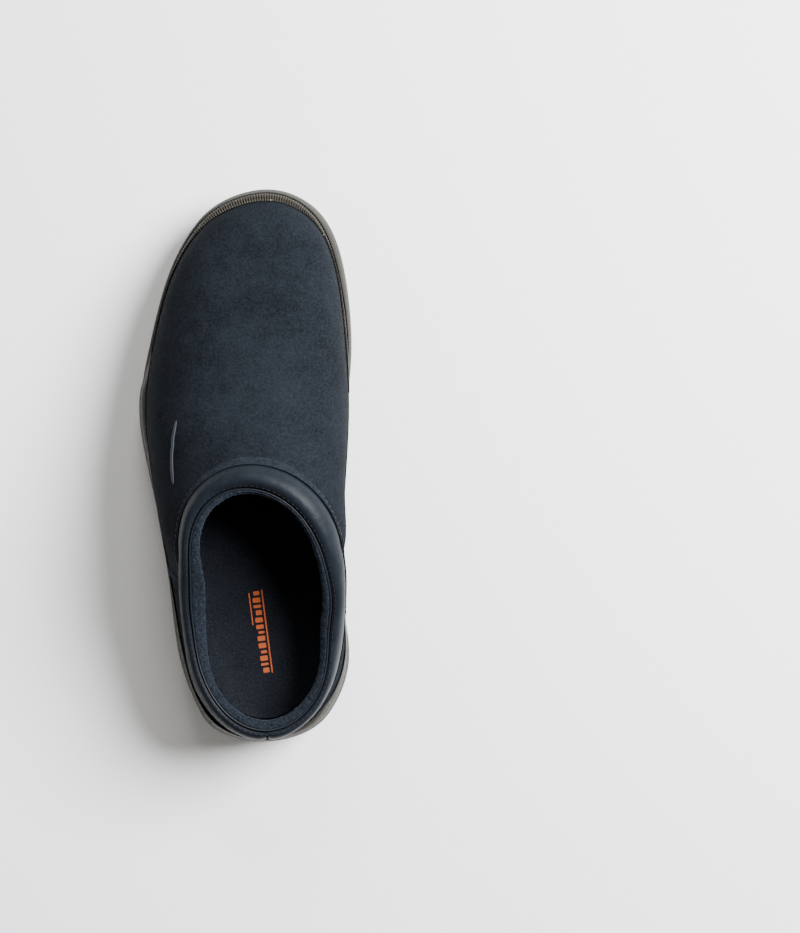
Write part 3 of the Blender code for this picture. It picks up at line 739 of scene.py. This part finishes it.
def footbed(foam_look, cloth_look):
    t = stations()
    foam = [
        (core(inside(t, -2.6, 3.1)), -2.6), (inside(t, -2.6, 3.1), -2.6),
        (inside(t, -0.4, 1.9), -0.4), (inside(t, 3.0, 1.6), 3.0), (inside(t, 4.2, 1.8), 4.0),
        (inside(t, 4.2, 2.4), 4.2), (core(inside(t, 4.2, 2.4)), 4.2)]
    plate("footbed_foam_layer", [join3(xy, stack(xy[:, 1]) + z) for xy, z in foam], foam_look,
          ["footbed_foam"], 50.0)
    edge = inside(t, BED_TOP, 2.3)
    half = COARSE // 2
    right = edge[:half + 1]
    left = edge[np.r_[0, COARSE - 1:half - 1:-1]]
    across = 0.5 - 0.5 * np.cos(np.linspace(0, math.pi, 49))
    xy = right[:, None] + (left - right)[:, None] * across[None, :, None]
    width = np.linalg.norm(left - right, axis=1)[:, None]
    rim = np.minimum(across, 1 - across)[None] * width
    tip = np.minimum(np.arange(half + 1), half - np.arange(half + 1))[:, None] * 1.6
    rim = np.minimum(rim, tip)
    cup = 1.6 * (1 - smooth(rim / 14.0)) * smooth((60.0 - xy[..., 1]) / 60.0) - 0.5 * (
        1 - smooth(rim / 1.6))
    top = np.concatenate([xy, (stack(xy[..., 1]) + BED_TOP + cup)[..., None]], -1)
    top[..., 2] += 0.12 * wobble(top, 14.0, 3.0)
    low = top.copy()
    low[..., 2] = stack(xy[..., 1]) + BED_TOP - 1.1
    shell("footbed_cloth", top, low, False, cloth_look, ["footbed_topcloth"], 60.0)


def print_block(verts, faces, corners, z, thick):
    k = len(verts)
    for lift in (0.0, thick):
        for x, y in corners:
            verts.append((x, y, z + lift))
    n = len(corners)
    faces.append(tuple(k + n - 1 - q for q in range(n)))
    faces.append(tuple(k + n + q for q in range(n)))
    for q in range(n):
        r = (q + 1) % n
        faces.append((k + q, k + r, k + n + r, k + n + q))


def footbed_mark(look):
    """Plain device: a line each side of a row of rounded blocks."""
    lean = math.radians(7.5)
    verts, faces = [], []
    z = FOREFOOT_STACK + HEEL_RAISE + BED_TOP + 0.02

    def place(along, across):
        return (12.9 - across * math.cos(lean) - along * math.sin(lean),
                -85.5 + along * math.cos(lean) - across * math.sin(lean))

    def bar(a0, a1, c0, c1, round_by=0.35):
        pts = []
        for ca, cc, turn in ((a1, c1, 0), (a0, c1, 1), (a0, c0, 2), (a1, c0, 3)):
            sa, sc = (-1 if ca == a1 else 1), (-1 if cc == c1 else 1)
            for q in range(4):
                ang = (turn + q / 3.0) * math.pi / 2
                pts.append(place(ca + sa * round_by + round_by * math.cos(ang),
                                 cc + sc * round_by + round_by * math.sin(ang)))
        print_block(verts, faces, pts, z, 0.22)

    bar(-22.0, 22.0, 0.0, 0.75)
    bar(4.0, 21.0, 6.9, 7.5, 0.28)
    widths = [2.6, 1.3, 2.6, 1.6, 2.6, 2.6, 1.3, 2.2, 2.6, 2.6, 1.6, 2.6, 2.2]
    gap = (43.0 - sum(widths)) / (len(widths) - 1)
    at = -21.5
    for k, w in enumerate(widths):
        bar(at, at + w, 1.7, 5.7 if k % 3 else 4.9, 0.45)
        at += w + gap
    finish_mesh("footbed_print", verts, faces, look, ["footbed_mark"], 30.0)


# ---------------------------------------------------------------- upper
def suede_upper(look, edge_look):
    t = stations(FINE)
    u = np.concatenate([np.linspace(0, 0.9, 84), np.linspace(0.905, 1.0, 20)])
    base = upper(t, u)
    n = normals(base)
    swell = 0.30 * wobble(base, 22.0) + 0.10 * wobble(base, 7.0, 5.0)
    lip = 0.55 * smooth((u - 0.972) / 0.012)
    fade = smooth((u - 0.02) / 0.08)
    outer = base + n * (swell * fade + lip)[..., None]
    grain = 0.05 * wobble(outer, 1.3, 9.0)
    outer = outer + n * grain[..., None]
    inner = base - n * (SUEDE - 0.3)
    ob = shell("suede_vamp", outer, inner, True, [look, edge_look], ["suede_upper"], 50.0)
    m = len(u)
    per = (m - 1)
    marks = np.zeros(len(ob.data.polygons), dtype=np.int32)
    ring_quads = FINE * per
    marks[2 * ring_quads:] = 1
    cols = np.tile(np.arange(per), FINE)
    marks[:ring_quads][u[cols] > 0.976] = 1
    ob.data.polygons.foreach_set("material_index", marks)
    return base, n


def side_rib(look):
    """Plain raised bar with round ends on the outer side of the vamp."""
    t = stations(FINE)
    grid = upper(t, np.linspace(0.3, 1.0, 141))
    n = normals(grid)
    flat = grid.reshape(-1, 3)
    flat_n = n.reshape(-1, 3)
    a, b = np.array([-32.6, 24.5]), np.array([-33.8, -8.5])
    pts, ups = [], []
    for s in np.linspace(0, 1, 40):
        want = a + (b - a) * s + np.array([-1.4 * math.sin(s * math.pi), 0.0])
        k = np.argmin(np.linalg.norm(flat[:, :2] - want, axis=1) + (flat[:, 0] > 0) * 1e3)
        pts.append(flat[k])
        ups.append(flat_n[k])
    pts, ups = np.array(pts), unit(np.array(ups))
    for _ in range(6):
        pts[1:-1] = (pts[:-2] + 2 * pts[1:-1] + pts[2:]) / 4
        ups[1:-1] = unit(ups[:-2] + 2 * ups[1:-1] + ups[2:])
    along = unit(np.gradient(pts, axis=0))
    side = unit(np.cross(ups, along))
    s = np.linspace(0, 1, 40)
    taper = np.sqrt(np.clip(1 - np.abs(2 * s - 1) ** 8, 0.02, 1))
    ang = np.linspace(0, 2 * math.pi, 16, endpoint=False)
    grid = (pts[:, None] + side[:, None] * (0.95 * np.cos(ang) * taper[:, None])[..., None]
            + ups[:, None] * (0.65 * np.sin(ang) * taper[:, None] + 0.1)[..., None])
    m = len(ang)
    faces = []
    for i in range(len(pts) - 1):
        for j in range(m):
            k = (j + 1) % m
            faces.append((i * m + j, i * m + k, (i + 1) * m + k, (i + 1) * m + j))
    faces.append(tuple(range(m))[::-1])
    faces.append(tuple((len(pts) - 1) * m + q for q in range(m)))
    finish_mesh("side_rib", grid.reshape(-1, 3), faces, look, [], None)


def lining_columns(t):
    u = np.linspace(0, 1, 26)
    base = upper(t, u)
    n = normals(base)
    outer = base - n * LINING_AT
    inner = base - n * (LINING_AT + LINING)
    angle = collar_angle(t)
    z = topline(t)
    rim = join3(outline(throat_radius, angle, -0.5), z - 1.7)
    side = np.sin(angle)
    draw = 1.6 * np.maximum(np.cos(angle), 0.0) ** 2 - 1.3 * side ** 2
    draw = draw - 1.2 * np.maximum(-side, 0.0) ** 2
    lip = join3(outline(fleece_radius, angle, 0.3 + draw), z - 3.0)
    crown = join3(outline(throat_radius, angle, -1.75), z - 0.15)
    shoulder = join3(outline(fleece_radius, angle, 1.2 + draw), z - 1.0)
    low = 0.5 * (inner[:, -1] + lip)
    low[:, 2] -= 0.5
    side_out = 0.5 * (outer[:, -1] + rim)
    top = through([inner[:, -2], inner[:, -1], low, lip, shoulder, crown, rim], 50)
    visible = np.concatenate([inner[:, :-2], top], 1)
    back = np.concatenate([outer, side_out[:, None], rim[:, None]], 1)
    picks = np.linspace(0, back.shape[1] - 1, visible.shape[1])
    k = np.clip(np.floor(picks).astype(int), 0, back.shape[1] - 2)
    f = (picks - k)[None, :, None]
    back = back[:, k] * (1 - f) + back[:, k + 1] * f
    back[:, -1] = join3(outline(throat_radius, angle, -0.35), z - 2.0)
    return back, visible


def linings(look):
    t_all = stations(FINE)
    from_toe = np.abs((t_all + HALF) % STATIONS - HALF)
    for name, node, picks in (
            ("vamp_fleece", "vamp_lining", from_toe < FLEECE_SEAM + ON_SEAM),
            ("quarter_fleece", "quarter_lining", from_toe > FLEECE_SEAM - ON_SEAM)):
        t = t_all[picks]
        if node == "vamp_lining":
            t = np.sort((t + HALF) % STATIONS - HALF)
        back, front = lining_columns(t)
        nrm = normals(front, False)
        rough = 0.28 * wobble(front, 1.6, 2.0) + 0.30 * wobble(front, 5.0, 7.0)
        keep = np.ones(front.shape[1])
        keep[-4:] = (0.8, 0.5, 0.2, 0.0)
        front = front + nrm * (rough * keep)[..., None]
        shell(name, back, front, False, look, [node], 60.0)


def collar_grid(t):
    base = upper(t, np.array([0.97, 0.98, 1.0]))
    edge = base[:, 2]
    tangent = unit(edge - base[:, 0])
    n = normals(base)[:, 2]
    for _ in range(60):
        n = unit(np.roll(n, 1, 0) + 2 * n + np.roll(n, -1, 0))
        tangent = unit(np.roll(tangent, 1, 0) + 2 * tangent + np.roll(tangent, -1, 0))
    angle = collar_angle(t)
    p3 = join3(outline(throat_radius, angle, 0.45), topline(t))
    p0 = edge - n * 1.15 - tangent * 1.0
    chord = np.linalg.norm(p3 - p0, axis=1)[:, None]
    front = smooth((edge[:, 1:2] + 60.0) / 50.0)
    fat = 2.2 + 1.4 * front
    p1 = p0 + n * (fat + 1.0) + tangent * 0.40 * chord
    full = join3(outline(throat_radius, angle, 6.4 - 3.0 * front[:, 0]),
                 topline(t) + 2.4 + 3.2 * front[:, 0])
    return bezier(p0, p1, full, p3, np.linspace(0, 1, 44))


def collar(look, piping_look):
    t = stations(FINE)
    grid = collar_grid(t)
    n = normals(grid)
    run = np.linspace(0, 1, grid.shape[1])
    crease = 0.16 * wobble(grid, 9.0, 1.0) + 0.07 * wobble(grid, 3.2, 4.0)
    seam = np.exp(-((t - BACK_SEAM) * 10.0) ** 2)
    grid = grid + n * ((crease - 0.9 * seam[:, None]) * np.sin(math.pi * run) ** 0.5)[..., None]
    ob = shell("collar_roll", grid, grid - n * LEATHER, True, look,
               ["collar_leather"], 60.0)
    angle = collar_angle(t)
    c = join3(outline(throat_radius, angle, -0.6), topline(t) - 0.45)
    across = join3(unit(outline(throat_radius, angle, 1.0) - outline(throat_radius, angle)), 0.0)
    ang = np.linspace(0, 2 * math.pi, 10, endpoint=False)
    tube = (c[:, None] + across[:, None] * (0.55 * np.cos(ang))[None, :, None]
            + np.array([0, 0, 1.0]) * (0.55 * np.sin(ang))[None, :, None])
    finish_mesh("collar_bound_edge", tube.reshape(-1, 3), ring_faces(FINE, 10, True),
                piping_look, ["collar_piping"], None)
    return grid


def stitching(look, seam_shade_look):
    """Thread on the suede edge and on the leather along the throat; the near-black beads sunk along
    the back seam are painted shade.
    """
    t = stations(FINE)
    grid = upper(t, np.linspace(0.90, 1.0, 81))
    n = normals(grid)
    left = np.cumsum(np.linalg.norm(np.diff(grid[:, ::-1], axis=1), axis=2), axis=1)
    pick = 79 - np.argmin(np.abs(left - 2.3), axis=1)
    n = n[np.arange(FINE), pick]
    line = grid[np.arange(FINE), pick] + n * 0.25
    pos, aim, idx = spaced(line, EDGE_PITCH)
    keep = pos[:, 2] > EDGE_STITCH_LOW
    beads("suede_edge_stitches", pos[keep], aim[keep], n[idx][keep], EDGE_STITCH, look)
    grid = collar_grid(t)
    n = normals(grid)
    line = grid[:, THROAT_ROW] + n[:, THROAT_ROW] * 0.05
    pos, aim, idx = spaced(line, THROAT_PITCH)
    beads("throat_stitches", pos, aim, n[idx, THROAT_ROW], THROAT_STITCH, look)
    # Painted shade: a near-black line of overlapping beads sunk into the back seam stands in for the
    # shadow in its groove
    row = int(round(BACK_SEAM / STATIONS * FINE))
    seam_normals = n[row, SEAM_SHADE_ROWS]
    pos, aim, idx = spaced(grid[row, SEAM_SHADE_ROWS] - seam_normals * 0.55, SEAM_SHADE_PITCH, False)
    beads("back_seam_painted_shade", pos, aim, seam_normals[idx], SEAM_SHADE_BEAD, seam_shade_look)


# ---------------------------------------------------------------- stage
def floor(look):
    size = 4.0
    me = bpy.data.meshes.new("floor")
    me.from_pydata([(-size, -size, 0), (size, -size, 0), (size, size, 0), (-size, size, 0)], [],
                   [(0, 1, 2, 3)])
    me.materials.append(look)
    ob = bpy.data.objects.new("floor", me)
    bpy.context.scene.collection.objects.link(ob)


def area_light(name, place, aim, size, power, color=(1, 1, 1)):
    data = bpy.data.lights.new(name, "AREA")
    data.shape = "DISK"
    data.size = size
    data.energy = power
    data.color = color
    ob = bpy.data.objects.new(name, data)
    ob.location = place
    ob.rotation_euler = (Vector(aim) - Vector(place)).to_track_quat("-Z", "Y").to_euler()
    bpy.context.scene.collection.objects.link(ob)


def lights():
    world = bpy.data.worlds.new("studio")
    world.use_nodes = True
    world.node_tree.nodes["Background"].inputs["Color"].default_value = (1.0, 0.97, 0.91, 1.0)
    world.node_tree.nodes["Background"].inputs["Strength"].default_value = 0.230
    bpy.context.scene.world = world
    area_light("key", (1.08, 0.50, 1.14), (0.0, 0.0, 0.0), 1.0, 122.0, (0.985, 0.99, 1.0))
    area_light("top_fill", (0.0, 1.35, 1.05), (0.0, 0.0, 0.0), 0.7, 14.0)
    area_light("left_fill", (-1.3, 0.3, 0.9), (0.0, 0.0, 0.0), 0.8, 2.5, (1.0, 0.97, 0.93))


def camera():
    data = bpy.data.cameras.new("overhead")
    data.lens = LENS
    data.sensor_width = SENSOR
    data.sensor_fit = "VERTICAL"
    data.sensor_height = SENSOR
    data.clip_start = 0.01
    ob = bpy.data.objects.new("overhead", data)
    ob.location = CAMERA_PLACE
    bpy.context.scene.collection.objects.link(ob)
    bpy.context.scene.camera = ob


def main():
    suede = suede_look()
    thread = plain_look("thread", (0.0045, 0.0055, 0.0085), 0.6, 0.3, 0.02, 0.3)
    outsole(rubber_look("outsole_grey", (0.042, 0.042, 0.038), (0.058, 0.058, 0.053), 0.15, 0.75),
            rubber_look("lug_grey", (0.045, 0.045, 0.042), (0.070, 0.070, 0.066), 0.2))
    midsole(rubber_look("midsole_dark", (0.022, 0.021, 0.018), (0.038, 0.036, 0.030), 0.2, 0.8))
    toe_foxing(rubber_look("foxing_olive", (0.012, 0.010, 0.007), (0.034, 0.029, 0.021), 0.6,
                           0.75, 0.35))
    heel_cup(rubber_look("cup_grey", (0.034, 0.032, 0.028), (0.062, 0.059, 0.053), 0.35, 0.6))
    footbed(plain_look("bed_foam_olive", (0.060, 0.047, 0.022), 0.95, 0.1, 0.25, 0.9),
            bed_look())
    footbed_mark(plain_look("ink_orange", (0.29, 0.060, 0.016), 0.8, 0.2, 0.04, 0.4))
    suede_upper(suede, suede_look("suede_cut_edge", 1.55))
    side_rib(plain_look("rib_suede", (0.0120, 0.0155, 0.0215), 0.6, 0.25, 0.05, 0.6))
    linings(fleece_look())
    collar(leather_look(), plain_look("piping_cord", (0.0060, 0.0080, 0.0120), 0.5, 0.25))
    # The second look is the near-black painted shade for the back seam
    stitching(thread, plain_look("seam_painted_shade", (0.0012, 0.0015, 0.0020), 0.9, 0.05))
    floor(plain_look("floor_paper", (0.94, 0.94, 0.94), 0.9, 0.1, 0.0, 5.0))
    lights()
    camera()


main()
